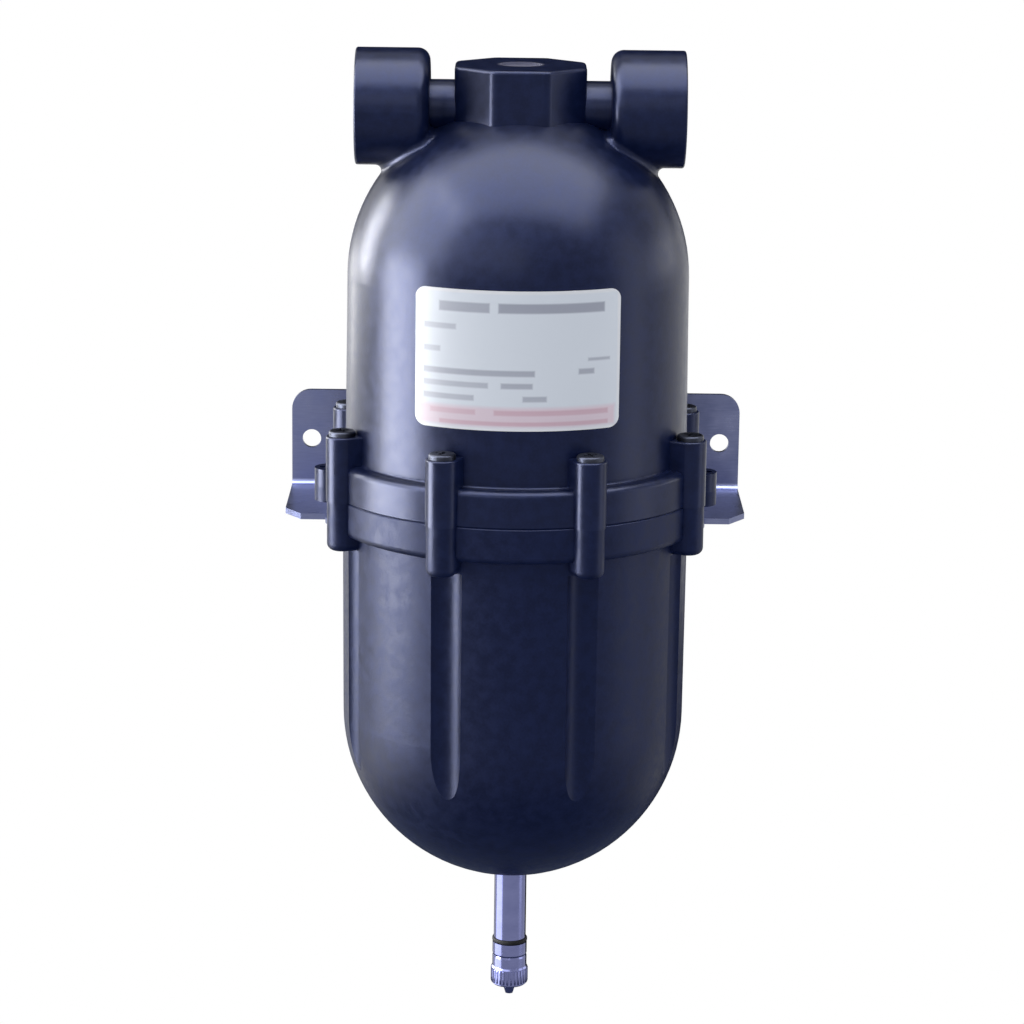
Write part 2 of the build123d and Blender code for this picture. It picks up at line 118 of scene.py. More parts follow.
class Graph:
    """The node tree of one material, with short ways to add and join its nodes."""

    def __init__(self, name: str) -> None:
        """Makes an empty material.

        Args:
            name: The material's name.
        """
        self.material = bpy.data.materials.new(name)
        self.material.use_nodes = True
        self.tree = self.material.node_tree
        self.tree.nodes.clear()
        self.place = self.add("ShaderNodeTexCoord").outputs["Object"]

    def add(self, kind: str, inputs: dict | None = None, **settings: object) -> bpy.types.Node:
        """Adds a node.

        Args:
            kind: Blender's name for the node type.
            inputs: A value or a socket for each input that is set, by name or place.
            settings: Attributes of the node.

        Returns:
            The new node.
        """
        node = self.tree.nodes.new(kind)
        for key, value in settings.items():
            setattr(node, key, value)
        for key, value in (inputs or {}).items():
            if isinstance(value, Socket):
                self.tree.links.new(value, node.inputs[key])
            else:
                node.inputs[key].default_value = value
        return node

    def stretched(self, scale: Triple) -> Socket:
        """Object coordinates times a factor along X, Y and Z."""
        return self.add("ShaderNodeMapping", {"Vector": self.place, "Scale": scale}).outputs[0]

    def noise(self, size: float, octaves: float = 2.0, vector: Socket | None = None) -> Socket:
        """Noise of about 0 to 1 with clouds this wide, on Object coordinates if not told otherwise."""
        inputs = {"Vector": vector or self.place, "Scale": 1 / size, "Detail": octaves}
        return self.add("ShaderNodeTexNoise", inputs).outputs["Fac"]

    def remap(self, value: Socket, source: Span, target: Span = UNIT) -> Socket:
        """A value stretched from one span to another, and held within it."""
        inputs = {0: value, 1: source[0], 2: source[1], 3: target[0], 4: target[1]}
        return self.add("ShaderNodeMapRange", inputs).outputs[0]

    def calc(self, operation: str, *values: float | Socket) -> Socket:
        """One sum on numbers, by Blender's name for it."""
        node = self.add("ShaderNodeMath", dict(enumerate(values)), operation=operation)
        return node.outputs[0]

    def distance(self, point: Triple) -> Socket:
        """How far the surface is from a point, in metres."""
        inputs = {0: self.place, 1: point}
        return self.add("ShaderNodeVectorMath", inputs, operation="DISTANCE").outputs["Value"]

    def weigh(self, first: Socket, second: Socket, share: float) -> Socket:
        """Two patterns mixed, with the second one's share from 0 to 1."""
        return self.add("ShaderNodeMix", {0: share, 2: first, 3: second}).outputs[0]

    def blend(self, share: Socket, first: Colour | Socket, second: Colour | Socket) -> Socket:
        """A colour between two others.

        Args:
            share: 0 for the first colour and 1 for the second.
            first: A colour or a colour socket.
            second: A colour or a colour socket.

        Returns:
            The colour.
        """
        sides = [side if isinstance(side, Socket) else (*side, 1.0) for side in (first, second)]
        inputs = {0: share, 6: sides[0], 7: sides[1]}
        return self.add("ShaderNodeMix", inputs, data_type="RGBA").outputs[2]

    def bump(self, height: Socket, depth: float, below: Socket | None = None) -> Socket:
        """A fine relief in the surface.

        Args:
            height: The relief, 0 to 1.
            depth: Its depth in metres.
            below: Another relief that it is added to.

        Returns:
            The normal.
        """
        inputs = {"Height": height, "Distance": depth, "Strength": 1.0}
        if below:
            inputs["Normal"] = below
        return self.add("ShaderNodeBump", inputs).outputs["Normal"]

    def finish(self, inputs: dict) -> bpy.types.Material:
        """Ends the tree with its surface shader.

        Args:
            inputs: The shader's inputs that are set.

        Returns:
            The material.
        """
        shader = self.add("ShaderNodeBsdfPrincipled", inputs)
        self.add("ShaderNodeOutputMaterial", {"Surface": shader.outputs[0]})
        return self.material


@dataclass(frozen=True)
class MouldedPlastic:
    """Glass-filled nylon from a spark-eroded mould.

    It has a fine grain and slow cloudy patches, and a painted highlight: a paler disc in the dish on
    the upper boss.
    """

    name: str
    dark: Colour = (0.0030, 0.0070, 0.0340)
    light: Colour = (0.0050, 0.0105, 0.0480)
    roughness: Span = (0.28, 0.34)
    grain_size: float = 0.55 * MM
    grain_depth: float = 0.008 * MM
    grain_share: float = 0.35
    speckle_span: Span = (0.38, 0.62)
    mottle_size: float = 2.8 * MM
    mottle_depth: float = 0.02 * MM
    specular: float = 0.2
    tint: Colour = (0.62, 0.68, 1.0)
    # Painted highlight: a paler disc in the boss's dish that stands in for a reflection there.
    painted_highlight: Colour = (0.22, 0.22, 0.29)
    painted_highlight_centre: Triple = (0.0, AXIS_Y, 104.9 * MM)
    painted_highlight_radius: float = 5.5 * MM
    painted_highlight_edge: float = 0.4 * MM
    painted_highlight_cover: float = 0.9

    def build(self) -> bpy.types.Material:
        """Makes the material.

        Returns:
            The material.
        """
        graph = Graph(self.name)
        mottle = graph.noise(self.mottle_size)
        grain = graph.noise(self.grain_size)
        speckle = graph.weigh(mottle, grain, self.grain_share)
        share = graph.remap(speckle, self.speckle_span)
        swell = graph.bump(mottle, self.mottle_depth)
        colour = graph.blend(share, self.dark, self.light)
        # Painted highlight: the plastic is blended towards a pale colour inside a disc in the boss's
        # dish.
        reach = graph.distance(self.painted_highlight_centre)
        edge = (self.painted_highlight_radius - self.painted_highlight_edge, self.painted_highlight_radius + self.painted_highlight_edge)
        highlight_share = graph.remap(reach, edge, (self.painted_highlight_cover, 0.0))
        return graph.finish(
            {
                "Base Color": graph.blend(highlight_share, colour, self.painted_highlight),
                "Roughness": graph.remap(speckle, self.speckle_span, self.roughness),
                "Normal": graph.bump(grain, self.grain_depth, swell),
                "Specular IOR Level": self.specular,
                "Specular Tint": (*self.tint, 1.0),
            }
        )


@dataclass(frozen=True)
class SoftRubber:
    """Moulded rubber, nearly matt, with a faint bloom."""

    name: str
    dark: Colour = (0.005, 0.005, 0.006)
    bloom: Colour = (0.011, 0.011, 0.014)
    bloom_size: float = 3 * MM
    bloom_span: Span = (0.4, 0.7)
    grain_size: float = 0.25 * MM
    grain_span: Span = (0.3, 0.7)
    grain_depth: float = 0.01 * MM
    roughness: Span = (0.62, 0.8)
    specular: float = 0.2

    def build(self) -> bpy.types.Material:
        """Makes the material.

        Returns:
            The material.
        """
        graph = Graph(self.name)
        bloom = graph.remap(graph.noise(self.bloom_size, CLOUD_OCTAVES), self.bloom_span)
        grain = graph.noise(self.grain_size)
        return graph.finish(
            {
                "Base Color": graph.blend(bloom, self.dark, self.bloom),
                "Roughness": graph.remap(grain, self.grain_span, self.roughness),
                "Normal": graph.bump(grain, self.grain_depth),
                "Specular IOR Level": self.specular,
            }
        )


@dataclass(frozen=True)
class Metal:
    """Metal with cloudy polish, and fine lines along one axis or round it."""

    name: str
    colour: Colour
    shade: Colour
    roughness: Span
    line_scale: Triple = (1.0, 1.0, 1.0)
    line_size: float = 0.3 * MM
    line_octaves: float = 3.0
    line_depth: float = 0.003 * MM
    line_share: float = 0.4
    cloud_size: float = 6 * MM
    wear_span: Span = (0.35, 0.65)

    def build(self) -> bpy.types.Material:
        """Makes the material.

        Returns:
            The material.
        """
        graph = Graph(self.name)
        clouds = graph.noise(self.cloud_size, CLOUD_OCTAVES)
        lines = graph.noise(self.line_size, self.line_octaves, graph.stretched(self.line_scale))
        wear = graph.weigh(clouds, lines, self.line_share)
        share = graph.remap(wear, self.wear_span)
        return graph.finish(
            {
                "Base Color": graph.blend(share, self.colour, self.shade),
                "Metallic": 1.0,
                "Roughness": graph.remap(wear, self.wear_span, self.roughness),
                "Normal": graph.bump(lines, self.line_depth),
            }
        )


@dataclass(frozen=True)
class Bar:
    """A plain bar on the label, in millimetres from the label's centre."""

    left: float
    right: float
    height: float
    thickness: float
    colour: Colour
    strength: float


@dataclass(frozen=True)
class PrintedLabel:
    """Coated film with plain bars of colour, its print measured in millimetres."""

    name: str
    radius: float
    centre: float
    width: float
    height: float
    paper: Colour = (0.93, 0.94, 0.98)
    ground: Colour = (0.84, 0.89, 0.97)
    ground_blur: float = 0.25
    margin: float = 0.7
    band: Colour = (0.86, 0.66, 0.75)
    band_low: float = 0.9
    band_high: float = 5.6
    band_inset: float = 0.6
    band_strength: float = 0.8
    band_blur: float = 0.5
    ink: Colour = (0.13, 0.13, 0.22)
    red_ink: Colour = (0.55, 0.18, 0.27)
    ink_blur: float = 0.22
    fibre_size: float = 1.2 * MM
    fibre_octaves: float = 3.0
    fibre_span: Span = (0.3, 0.7)
    fibre_depth: float = 0.006 * MM
    roughness: Span = (0.36, 0.48)
    specular: float = 0.4

    def bars(self) -> list[Bar]:
        """The bars of the print, from the top down.

        Returns:
            The bars.
        """
        ink, red = self.ink, self.red_ink
        return [
            Bar(-19.4, -6.8, 12.6, 2.3, ink, 0.52),
            Bar(-4.7, 21.4, 12.6, 2.3, ink, 0.60),
            Bar(-23.4, -15.0, 7.8, 1.3, ink, 0.38),
            Bar(-23.4, -19.0, 2.3, 1.3, ink, 0.38),
            Bar(-23.4, 4.1, -2.9, 1.4, ink, 0.50),
            Bar(14.8, 18.8, -2.6, 1.3, ink, 0.50),
            Bar(17.2, 23.0, 0.2, 0.7, ink, 0.45),
            Bar(-23.4, -7.0, -5.9, 1.3, ink, 0.40),
            Bar(-3.9, 3.6, -5.9, 1.3, ink, 0.48),
            Bar(-23.4, -10.4, -9.0, 1.3, ink, 0.42),
            Bar(1.3, 7.0, -9.0, 1.3, ink, 0.45),
            Bar(-21.5, -10.0, -12.4, 1.2, red, 0.30),
            Bar(-5.5, 22.6, -12.4, 1.2, red, 0.36),
            Bar(-19.0, 22.6, -15.0, 1.0, red, 0.36),
        ]

    def mask(
        self, graph: Graph, place: tuple[Socket, Socket], middle: Span, half: Span, blur: float
    ) -> Socket:
        """Where the print lies inside a rectangle.

        Args:
            graph: The material's graph.
            place: Millimetres to the right of the label's centre, and above it.
            middle: The rectangle's centre.
            half: Half its width and half its height.
            blur: Half the width of its blurred edge.

        Returns:
            1 inside, 0 outside.
        """
        gaps = []
        for at, centre, reach in zip(place, middle, half):
            away = graph.calc("ABSOLUTE", graph.calc("SUBTRACT", at, centre))
            gaps.append(graph.calc("SUBTRACT", reach, away))
        return graph.remap(graph.calc("MINIMUM", *gaps), (-blur, blur))

    def build(self) -> bpy.types.Material:
        """Makes the material.

        Returns:
            The material.
        """
        graph = Graph(self.name)
        at = graph.add("ShaderNodeSeparateXYZ", {0: graph.place}).outputs
        turn = graph.calc("ARCTAN2", at["X"], graph.calc("SUBTRACT", AXIS_Y, at["Y"]))
        across = graph.calc("MULTIPLY", turn, self.radius / MM)
        up = graph.calc("MULTIPLY", graph.calc("SUBTRACT", at["Z"], self.centre), 1 / MM)
        place = (across, up)
        half = (self.width / 2 / MM, self.height / 2 / MM)
        inner = (half[0] - self.margin, half[1] - self.margin)
        edge = self.mask(graph, place, (0.0, 0.0), inner, self.ground_blur)
        colour = graph.blend(edge, self.paper, self.ground)
        band_middle = (0.0, (self.band_low + self.band_high) / 2 - half[1])
        band_half = (inner[0] - self.band_inset, (self.band_high - self.band_low) / 2)
        band = self.mask(graph, place, band_middle, band_half, self.band_blur)
        colour = graph.blend(graph.calc("MULTIPLY", band, self.band_strength), colour, self.band)
        for bar in self.bars():
            middle = ((bar.left + bar.right) / 2, bar.height)
            size = ((bar.right - bar.left) / 2, bar.thickness / 2)
            inked = self.mask(graph, place, middle, size, self.ink_blur)
            share = graph.calc("MULTIPLY", inked, bar.strength)
            colour = graph.blend(share, colour, bar.colour)
        fibre = graph.noise(self.fibre_size, self.fibre_octaves)
        return graph.finish(
            {
                "Base Color": colour,
                "Roughness": graph.remap(fibre, self.fibre_span, self.roughness),
                "Normal": graph.bump(fibre, self.fibre_depth),
                "Specular IOR Level": self.specular,
            }
        )


@dataclass(frozen=True)
class PaleFloor:
    """Pale studio floor with a faint unevenness."""

    name: str
    colour: Colour = (0.80, 0.80, 0.79)
    shade: Colour = (0.74, 0.74, 0.74)
    cloud_size: float = 60 * MM
    grain_size: float = 1.5 * MM
    grain_span: Span = (0.3, 0.7)
    grain_depth: float = 0.05 * MM
    roughness: Span = (0.7, 0.85)

    def build(self) -> bpy.types.Material:
        """Makes the material.

        Returns:
            The material.
        """
        graph = Graph(self.name)
        clouds = graph.noise(self.cloud_size, CLOUD_OCTAVES)
        grain = graph.noise(self.grain_size)
        return graph.finish(
            {
                "Base Color": graph.blend(clouds, self.colour, self.shade),
                "Roughness": graph.remap(grain, self.grain_span, self.roughness),
                "Normal": graph.bump(grain, self.grain_depth),
            }
        )


@dataclass(frozen=True)
class MattCard:
    """Matt card that darkens the reflections it stands in, black if not told otherwise."""

    name: str
    colour: Colour = (0.003, 0.003, 0.004)
    shade: Colour = (0.006, 0.006, 0.007)
    cloud_size: float = 60 * MM
    roughness: float = 0.9
    specular: float = 0.0

    def build(self) -> bpy.types.Material:
        """Makes the material.

        Returns:
            The material.
        """
        graph = Graph(self.name)
        clouds = graph.noise(self.cloud_size, CLOUD_OCTAVES)
        return graph.finish(
            {
                "Base Color": graph.blend(clouds, self.colour, self.shade),
                "Roughness": self.roughness,
                "Specular IOR Level": self.specular,
            }
        )


def outward(bearing: float, height: float) -> Vector:
    """The direction away from the part, by its bearing from the front and its height in radians."""
    flat = math.cos(height)
    return Vector((math.sin(bearing) * flat, -math.cos(bearing) * flat, math.sin(height)))


def select_only(*pieces: bpy.types.Object) -> None:
    """Selects these objects and nothing else, with the first one active.

    Args:
        pieces: The objects.
    """
    for item in bpy.context.view_layer.objects:
        item.select_set(item in pieces)
    bpy.context.view_layer.objects.active = pieces[0]


def apply_modifier(piece: bpy.types.Object, kind: str, **settings: object) -> None:
    """Adds a modifier and applies it.

    Args:
        piece: The object.
        kind: Blender's name for the modifier.
        settings: The modifier's attributes.
    """
    modifier = piece.modifiers.new(kind.title(), kind)
    for key, value in settings.items():
        setattr(modifier, key, value)
    select_only(piece)
    bpy.ops.object.modifier_apply(modifier=modifier.name)


def start_piece(
    name: str, primitive: str, stretch: Triple = (1.0, 1.0, 1.0), **settings: object
) -> bpy.types.Object:
    """Adds a primitive with nothing else selected.

    Args:
        name: The new object's name.
        primitive: What the primitive is called, such as cube.
        stretch: The factors along its own axes, before its turn.
        settings: The primitive's settings.

    Returns:
        The object, with its turn and place in its mesh.
    """
    bpy.ops.object.select_all(action="DESELECT")
    getattr(bpy.ops.mesh, f"primitive_{primitive}_add")(**settings)
    piece = bpy.context.object
    piece.name = name
    piece.scale = stretch
    bpy.ops.object.transform_apply()
    return piece


def copy_to(piece: bpy.types.Object, places: list[Matrix]) -> bpy.types.Object:
    """Copies a piece to several places and joins the copies.

    Args:
        piece: The piece, which is used up.
        places: Where the copies go.

    Returns:
        One object that holds them all, with its own object at the origin.
    """
    copies = []
    for place in places:
        copy = piece.copy()
        copy.data = piece.data.copy()
        copy.data.transform(place)
        bpy.context.scene.collection.objects.link(copy)
        copies.append(copy)
    name = piece.name
    bpy.data.objects.remove(piece)
    select_only(*copies)
    bpy.ops.object.join()
    joined = bpy.context.object
    joined.name = name
    return joined


def hand_over(
    piece: bpy.types.Object, finish: bpy.types.Material, body: Body
) -> None:
    """Dresses a new piece and lets it ride on its body.

    Args:
        piece: The piece.
        finish: Its finish.
        body: The body it moves with.
    """
    dress(piece, finish)
    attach(piece, body.value)


def dress(piece: bpy.types.Object, finish: bpy.types.Material) -> None:
    """Gives a piece its one material.

    Args:
        piece: The object.
        finish: Its finish.
    """
    if piece.data.materials:
        for place in piece.material_slots:
            place.material = finish
    else:
        piece.data.materials.append(finish)
    log.info("%s: %s, %d faces", piece.name, finish.name, len(piece.data.polygons))


def dress_nodes(finish: bpy.types.Material, *names: str) -> None:
    """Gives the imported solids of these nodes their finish."""
    for name in names:
        dress(frame["nodes"][name], finish)


@dataclass
class Thread:
    """A 60 degree thread ridge that winds round a wall.

    The width of its foot and how deep it is sunk in the wall are shares of the pitch. What is cut
    from its crest is a share of the foot.
    """

    name: str
    wall_radius: float
    pitch: float
    length: float
    inward: bool = False
    foot: float = 0.86
    sunk: float = 0.06
    crest_cut: float = 0.14
    steps: int = 72
    crest_tolerance: float = 0.01 * MM

    def build(self) -> bpy.types.Object:
        """Winds the ridge round the Z axis, from z = 0 up.

        Returns:
            The ridge, with its ends closed.
        """
        side = self.foot * self.pitch
        circumradius = side / math.sqrt(3)
        towards = -1 if self.inward else 1
        centre = self.wall_radius + towards * (circumradius / 2 - self.sunk * self.pitch)
        thread = start_piece(
            self.name,
            "circle",
            vertices=3,
            radius=circumradius,
            location=(centre, 0, side / 2),
            rotation=(math.pi / 2, towards * math.pi / 2, 0),
        )
        crest = towards * max(towards * vertex.co.x for vertex in thread.data.vertices)
        for vertex in thread.data.vertices:
            vertex.select = abs(vertex.co.x - crest) < self.crest_tolerance
        bpy.ops.object.mode_set(mode="EDIT")
        bpy.ops.mesh.select_mode(type="VERT")
        bpy.ops.mesh.bevel(offset=self.crest_cut * side, affect="VERTICES")
        bpy.ops.object.mode_set(mode="OBJECT")
        turns = (self.length - side) / self.pitch
        apply_modifier(
            thread,
            "SCREW",
            axis="Z",
            angle=math.tau * turns,
            screw_offset=self.pitch * turns,
            steps=round(self.steps * turns),
            render_steps=round(self.steps * turns),
            use_smooth_shade=False,
        )
        bpy.ops.object.mode_set(mode="EDIT")
        bpy.ops.mesh.select_all(action="SELECT")
        bpy.ops.mesh.fill_holes(sides=4)
        bpy.ops.mesh.select_all(action="SELECT")
        bpy.ops.mesh.normals_make_consistent(inside=False)
        bpy.ops.object.mode_set(mode="OBJECT")
        bpy.ops.object.shade_smooth_by_angle(angle=SMOOTH_ANGLE)
        return thread


@dataclass
class Housings:
    """The two moulded housings, with a female pipe thread in each port."""

    socket_radius: float = 9.4 * MM
    thread_pitch: float = 1.814 * MM
    thread_length: float = 12.6 * MM

    def build(self) -> None:
        """Dresses the housings and winds a thread into each port."""
        plastic = MouldedPlastic("navy_black_nylon").build()
        coarse = MouldedPlastic(
            "coarse_navy_nylon",
            roughness=(0.34, 0.46),
            grain_depth=0.015 * MM,
            mottle_depth=0.05 * MM,
            specular=0.15,
        ).build()
        dress_nodes(plastic, "upper_housing")
        dress_nodes(coarse, "lower_housing")
        for mount in frame["record"]["mounts"]:
            if mount["name"].startswith("port_"):
                hand_over(self.port_thread(mount), plastic, Body.TANK)

    def port_thread(self, mount: dict) -> bpy.types.Object:
        """The thread inside one port.

        Args:
            mount: The port's mount in the record.

        Returns:
            The thread, from the foot of the mouth's chamfer inwards.
        """
        name = mount["name"].replace("port", "port_thread")
        thread = Thread(
            name, self.socket_radius, self.thread_pitch, self.thread_length, inward=True
        ).build()
        side = mount["axis"][0]
        turned = Matrix.Rotation(-side * math.pi / 2, 4, "Y")
        thread.data.transform(Matrix.Translation(Vector(mount["pos_m"])) @ turned)
        return thread


@dataclass
class Fasteners:
    """The screws, washers and nuts that close the housings and hold the bracket."""

    circle: float = 45.9 * MM
    bearings: tuple[float, ...] = (22.5, 67.5, 112.5, 157.5)
    shank_radius: float = 1.9 * MM
    thread_pitch: float = 0.7 * MM
    thread_foot: float = 0.5
    nut_flats: float = 7.0 * MM
    nut_height: float = 3.2 * MM
    nut_top: float = -14.6 * MM
    nut_bore: float = 1.95 * MM
    nut_round: float = 0.08 * MM
    nut_edge_angle: float = math.radians(25)
    nut_smooth_angle: float = math.radians(28)
    nut_face_share: float = 0.97
    chamfer_slope: float = math.tan(math.radians(30))
    disc_steps: int = 96
    disc_margin: float = 0.01 * MM
    bore_steps: int = 64
    thread_steps: int = 48
    screw_end: float = -19.2 * MM
    screw_tip: float = 0.45 * MM

    def build(self) -> None:
        """Dresses the screws and washers, and models the nuts and the screws' ends."""
        black = Metal("blackened_steel", (0.018, 0.020, 0.030), (0.030, 0.033, 0.045), (0.34, 0.5))
        zinc = Metal("bright_zinc", (0.52, 0.55, 0.62), (0.38, 0.41, 0.48), (0.25, 0.42))
        black_steel, bright_zinc = black.build(), zinc.build()
        dress_nodes(black_steel, "housing_screws", "bracket_screws")
        dress_nodes(bright_zinc, "bracket_washers", "bracket_nuts")
        nuts = copy_to(self.nut(), self.places(self.nut_top))
        hand_over(nuts, bright_zinc, Body.TANK)
        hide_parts("bracket_nuts")
        start = self.screw_end + self.screw_tip
        threads = copy_to(self.end_thread(), self.places(start))
        hand_over(threads, black_steel, Body.TANK)

    def places(self, height: float) -> list[Matrix]:
        """The four rear screws' axes.

        Args:
            height: The height of each place.

        Returns:
            The places, each turned to face away from the tank's axis.
        """
        axis = Matrix.Translation((0, AXIS_Y, height))
        out = Matrix.Translation((self.circle, 0, 0))
        turns = [Matrix.Rotation(math.radians(bearing), 4, "Z") for bearing in self.bearings]
        return [axis @ turn @ out for turn in turns]

    def nut(self) -> bpy.types.Object:
        """One nut under z = 0, a six-sided block cut to a chamfered disc, with a bore.

        Returns:
            The nut.
        """
        corner = self.nut_flats / math.sqrt(3)
        reach = corner - self.nut_face_share * self.nut_flats / 2
        middle = (0, 0, -self.nut_height / 2)
        nut = start_piece(
            "chamfered_nuts",
            "cylinder",
            vertices=6,
            radius=corner,
            depth=self.nut_height,
            location=middle,
            rotation=(0, 0, math.pi / 6),
        )
        disc = start_piece(
            "nut_disc",
            "cylinder",
            vertices=self.disc_steps,
            radius=corner + self.disc_margin,
            depth=self.nut_height / self.chamfer_slope,
        )
        apply_modifier(disc, "BEVEL", width=reach, segments=1, angle_limit=BEVEL_ANGLE)
        flatten = Matrix.Diagonal((1, 1, self.chamfer_slope, 1))
        disc.data.transform(Matrix.Translation(middle) @ flatten)
        bore = start_piece(
            "nut_bore",
            "cylinder",
            vertices=self.bore_steps,
            radius=self.nut_bore,
            depth=2 * self.nut_height,
            location=middle,
        )
        for tool, operation in ((disc, "INTERSECT"), (bore, "DIFFERENCE")):
            apply_modifier(nut, "BOOLEAN", operation=operation, object=tool, solver="EXACT")
            bpy.data.objects.remove(tool)
        apply_modifier(
            nut, "BEVEL", width=self.nut_round, segments=2, angle_limit=self.nut_edge_angle
        )
        bpy.ops.object.shade_smooth_by_angle(angle=self.nut_smooth_angle)
        return nut

    def end_thread(self) -> bpy.types.Object:
        """The thread that shows below a nut.

        Returns:
            The thread, from z = 0 up into the nut.
        """
        inside = self.nut_top - self.nut_height + 2 * self.thread_pitch
        return Thread(
            "screw_end_threads",
            self.shank_radius,
            self.thread_pitch,
            inside - self.screw_end - self.screw_tip,
            foot=self.thread_foot,
            steps=self.thread_steps,
        ).build()


@dataclass
class WallBracket:
    """The bent steel bracket."""

    colour: Colour = (0.143, 0.158, 0.265)
    shade: Colour = (0.098, 0.112, 0.205)
    roughness: Span = (0.26, 0.40)
    line_scale: Triple = (0.06, 1.0, 1.0)

    def build(self) -> None:
        """Dresses the bracket in rolled steel, with its lines along the width."""
        steel = Metal("rolled_steel", self.colour, self.shade, self.roughness, self.line_scale)
        dress_nodes(steel.build(), "mounting_bracket")


@dataclass
class NameLabel:
    """The label on the front."""

    half_angle: float = math.radians(34.8)

    def build(self) -> None:
        """Dresses the label in printed film."""
        low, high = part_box("label")
        radius = (high.x - low.x) / 2 / math.sin(self.half_angle)
        film = PrintedLabel(
            "printed_film",
            radius=radius,
            centre=(low.z + high.z) / 2,
            width=2 * self.half_angle * radius,
            height=high.z - low.z,
        )
        dress_nodes(film.build(), "label")


@dataclass
class AirValve:
    """The air valve: stem, core, sealing ring and cap."""

    stem_end_radius: float = 3.5 * MM
    stem_tip: float = -129.3 * MM
    thread_pitch: float = 0.794 * MM
    thread_foot: float = 0.62
    thread_length: float = 8.9 * MM
    thread_start: float = 0.5 * MM
    grip_radius: float = 4.65 * MM
    grip_low: float = -130.45 * MM
    grip_high: float = -126.8 * MM
    rib_count: int = 30
    rib_width: float = 0.5 * MM
    rib_proud: float = 0.13 * MM
    rib_depth: float = 0.6 * MM
    rib_round_share: float = 0.9
    merge_distance: float = 0.001 * MM

    def build(self) -> None:
        """Dresses the valve, gives the spring its own mesh and models the stem's thread and the cap's
        ribs.
        """
        nickel = Metal(
            "turned_nickel",
            (0.157, 0.169, 0.325),
            (0.118, 0.129, 0.265),
            (0.12, 0.2),
            line_scale=(0.05, 0.05, 1.0),
            line_size=0.12 * MM,
        ).build()
        brass = Metal("turned_brass", (0.62, 0.44, 0.16), (0.48, 0.33, 0.12), (0.2, 0.34))
        wire = Metal("spring_steel", (0.42, 0.42, 0.44), (0.3, 0.3, 0.32), (0.22, 0.34))
        dress_nodes(nickel, "valve_stem", "valve_cap")
        dress_nodes(brass.build(), "core_body", "core_pin")
        dress_nodes(wire.build(), "core_spring")
        self.free_spring()
        hand_over(self.stem_thread(), nickel, Body.TANK)
        hand_over(self.grip_ribs(), nickel, Body.CAP)

    def free_spring(self) -> None:
        """Gives the spring its own copy of its mesh."""
        spring = frame["nodes"]["core_spring"]
        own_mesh(spring)

    def stem_thread(self) -> bpy.types.Object:
        """The thread that the cap screws onto.

        Returns:
            The thread, from just above the stem's tip up.
        """
        thread = Thread(
            "stem_thread",
            self.stem_end_radius,
            self.thread_pitch,
            self.thread_length,
            foot=self.thread_foot,
        ).build()
        place = (0, AXIS_Y, self.stem_tip + self.thread_start)
        thread.data.transform(Matrix.Translation(place))
        return thread

    def grip_ribs(self) -> bpy.types.Object:
        """Upright ribs round the cap's grip, one bevelled bar spun round the axis.

        Returns:
            The ribs.
        """
        height = self.grip_high - self.grip_low
        ribs = start_piece(
            "cap_grip_ribs",
            "cube",
            size=1.0,
            stretch=(self.rib_depth, self.rib_width, height),
            location=(self.grip_radius + self.rib_proud - self.rib_depth / 2, 0, 0),
        )
        apply_modifier(
            ribs,
            "BEVEL",
            width=self.rib_round_share * self.rib_proud,
            segments=2,
            angle_limit=BEVEL_ANGLE,
        )
        bpy.ops.object.mode_set(mode="EDIT")
        bpy.ops.mesh.select_all(action="SELECT")
        bpy.ops.mesh.spin(
            steps=self.rib_count,
            dupli=True,
            angle=math.tau,
            center=(0, 0, 0),
            axis=(0, 0, 1),
        )
        bpy.ops.mesh.select_all(action="SELECT")
        bpy.ops.mesh.remove_doubles(threshold=self.merge_distance)
        bpy.ops.mesh.normals_make_consistent(inside=False)
        bpy.ops.object.mode_set(mode="OBJECT")
        bpy.ops.object.shade_smooth_by_angle(angle=SMOOTH_ANGLE)
        middle = (self.grip_low + self.grip_high) / 2
        ribs.data.transform(Matrix.Translation((0, AXIS_Y, middle)))
        return ribs


@dataclass
class Seals:
    """The rubber pieces: diaphragm, seals, gaskets and the ring above the cap."""

    names: tuple[str, ...] = (
        "diaphragm",
        "stem_seal",
        "core_gasket",
        "core_seal",
        "mouth_ring",
        "cap_gasket",
    )

    def build(self) -> None:
        """Dresses the rubber pieces."""
        dress_nodes(SoftRubber("black_rubber").build(), *self.names)


@dataclass
class SoftBox:
    """A rectangular lamp that faces the part."""

    name: str
    bearing: float
    height: float
    size: Span
    strength: float
    kind: Shine = Shine.GLOSS
    distance: float = 1.2

    def hang(self, target: Vector) -> None:
        """Hangs the lamp, out of the camera's sight.

        Args:
            target: The point that it faces.
        """
        away = outward(math.radians(self.bearing), math.radians(self.height))
        data = bpy.data.lights.new(self.name, "AREA")
        data.shape = "RECTANGLE"
        data.size, data.size_y = self.size
        data.energy = self.strength * math.pi * self.size[0] * self.size[1]
        box = bpy.data.objects.new(self.name, data)
        box.location = target + away * self.distance
        box.rotation_euler = away.to_track_quat("Z", "Y").to_euler()
        box.visible_camera = False
        box.visible_diffuse = self.kind is Shine.LIGHT
        box.visible_glossy = self.kind is Shine.GLOSS
        bpy.context.scene.collection.objects.link(box)
        log.info("%s: %s, strength %.2f", self.name, self.kind.value, self.strength)


@dataclass
class Flag:
    """A card that only reflections see, turned about X, Y and Z by angles in degrees."""

    name: str
    size: Span
    place: Triple
    turn: Triple = (90, 0, 0)
    card: Card = Card.BLACK

    def stand(self, finish: bpy.types.Material) -> None:
        """Sets the flag up.

        Args:
            finish: Its finish.
        """
        flag = start_piece(
            self.name,
            "plane",
            stretch=(*self.size, 1),
            size=1.0,
            location=self.place,
            rotation=[math.radians(angle) for angle in self.turn],
        )
        dress(flag, finish)
        flag.visible_camera = False
        flag.visible_diffuse = False
        flag.visible_shadow = False


